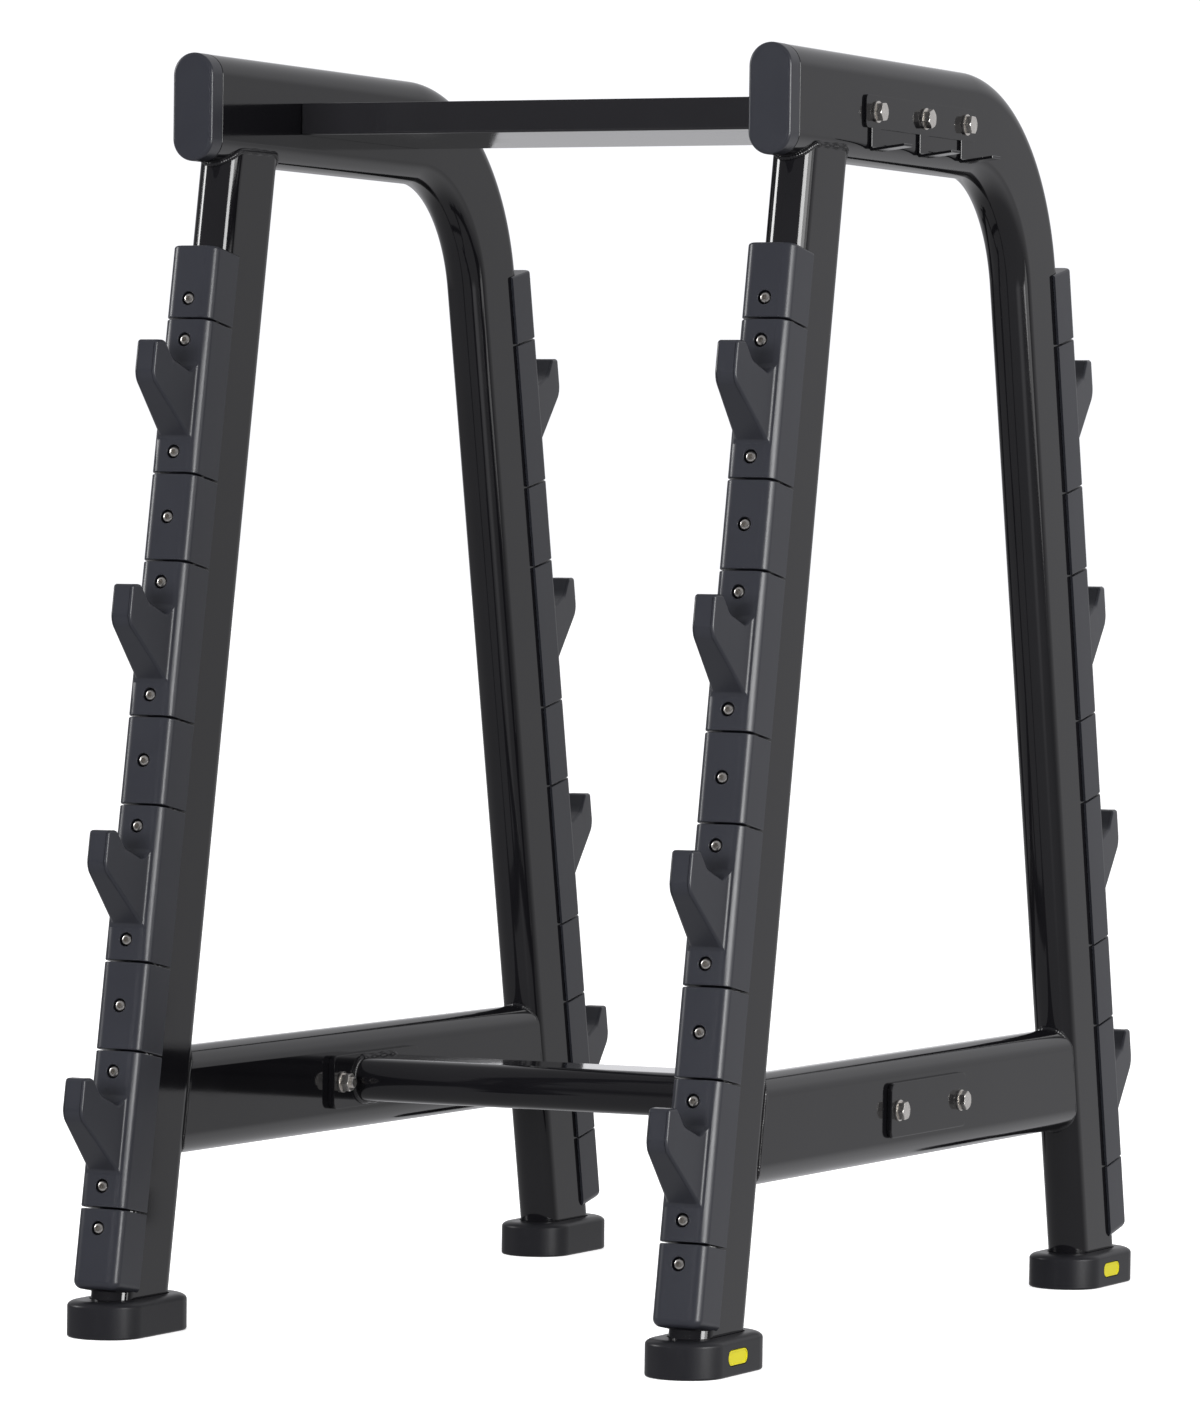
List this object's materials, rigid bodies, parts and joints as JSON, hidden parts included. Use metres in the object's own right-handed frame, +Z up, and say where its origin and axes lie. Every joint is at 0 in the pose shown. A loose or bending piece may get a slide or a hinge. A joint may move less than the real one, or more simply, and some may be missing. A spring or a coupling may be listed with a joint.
{
  "type": "barbell storage rack",
  "caption": "Free-standing barbell storage rack: two welded oval-tube side frames with plastic bar hooks up each leg, joined by a top tray and a low crossmember.",
  "frame": {"origin": "middle of the footprint, on the floor that the feet stand on", "axes": "+X to the right side frame seen from the front, +Y from front to rear, +Z up"},
  "size_m": [0.8334, 1.3286, 1.4142],
  "materials": {
    "frame_coating": "gloss black powder coat",
    "cover_plastic": "satin charcoal moulding",
    "foot_rubber": "satin black",
    "bolt_steel": "bright stainless"
  },
  "bodies": {
    "root": {"crossmember": "frame_coating", "left_bar_and_rear_leg": "frame_coating", "left_end_cap": "cover_plastic", "left_front_cover_1": "cover_plastic", "left_front_cover_2": "cover_plastic", "left_front_cover_3": "cover_plastic", "left_front_cover_bottom": "cover_plastic", "left_front_cover_top": "cover_plastic", "left_front_foot": "foot_rubber", "left_front_hook_1": "cover_plastic", "left_front_hook_2": "cover_plastic", "left_front_hook_3": "cover_plastic", "left_front_hook_4": "cover_plastic", "left_front_leg": "frame_coating", "left_hanger_plate": "frame_coating", "left_joint_plate": "frame_coating", "left_lower_rail": "frame_coating", "left_rear_cover_1": "cover_plastic", "left_rear_cover_2": "cover_plastic", "left_rear_cover_3": "cover_plastic", "left_rear_cover_bottom": "cover_plastic", "left_rear_cover_top": "cover_plastic", "left_rear_foot": "foot_rubber", "left_rear_hook_1": "cover_plastic", "left_rear_hook_2": "cover_plastic", "left_rear_hook_3": "cover_plastic", "left_rear_hook_4": "cover_plastic", "left_tray_bolt_1": "bolt_steel", "left_tray_bolt_2": "bolt_steel", "left_tray_bolt_3": "bolt_steel", "right_bar_and_rear_leg": "frame_coating", "right_end_cap": "cover_plastic", "right_front_cover_1": "cover_plastic", "right_front_cover_2": "cover_plastic", "right_front_cover_3": "cover_plastic", "right_front_cover_bottom": "cover_plastic", "right_front_cover_top": "cover_plastic", "right_front_foot": "foot_rubber", "right_front_hook_1": "cover_plastic", "right_front_hook_2": "cover_plastic", "right_front_hook_3": "cover_plastic", "right_front_hook_4": "cover_plastic", "right_front_leg": "frame_coating", "right_hanger_plate": "frame_coating", "right_joint_plate": "frame_coating", "right_lower_rail": "frame_coating", "right_rear_cover_1": "cover_plastic", "right_rear_cover_2": "cover_plastic", "right_rear_cover_3": "cover_plastic", "right_rear_cover_bottom": "cover_plastic", "right_rear_cover_top": "cover_plastic", "right_rear_foot": "foot_rubber", "right_rear_hook_1": "cover_plastic", "right_rear_hook_2": "cover_plastic", "right_rear_hook_3": "cover_plastic", "right_rear_hook_4": "cover_plastic", "right_tray_bolt_1": "bolt_steel", "right_tray_bolt_2": "bolt_steel", "right_tray_bolt_3": "bolt_steel", "tray": "frame_coating"}
  },
  "joints": []
}
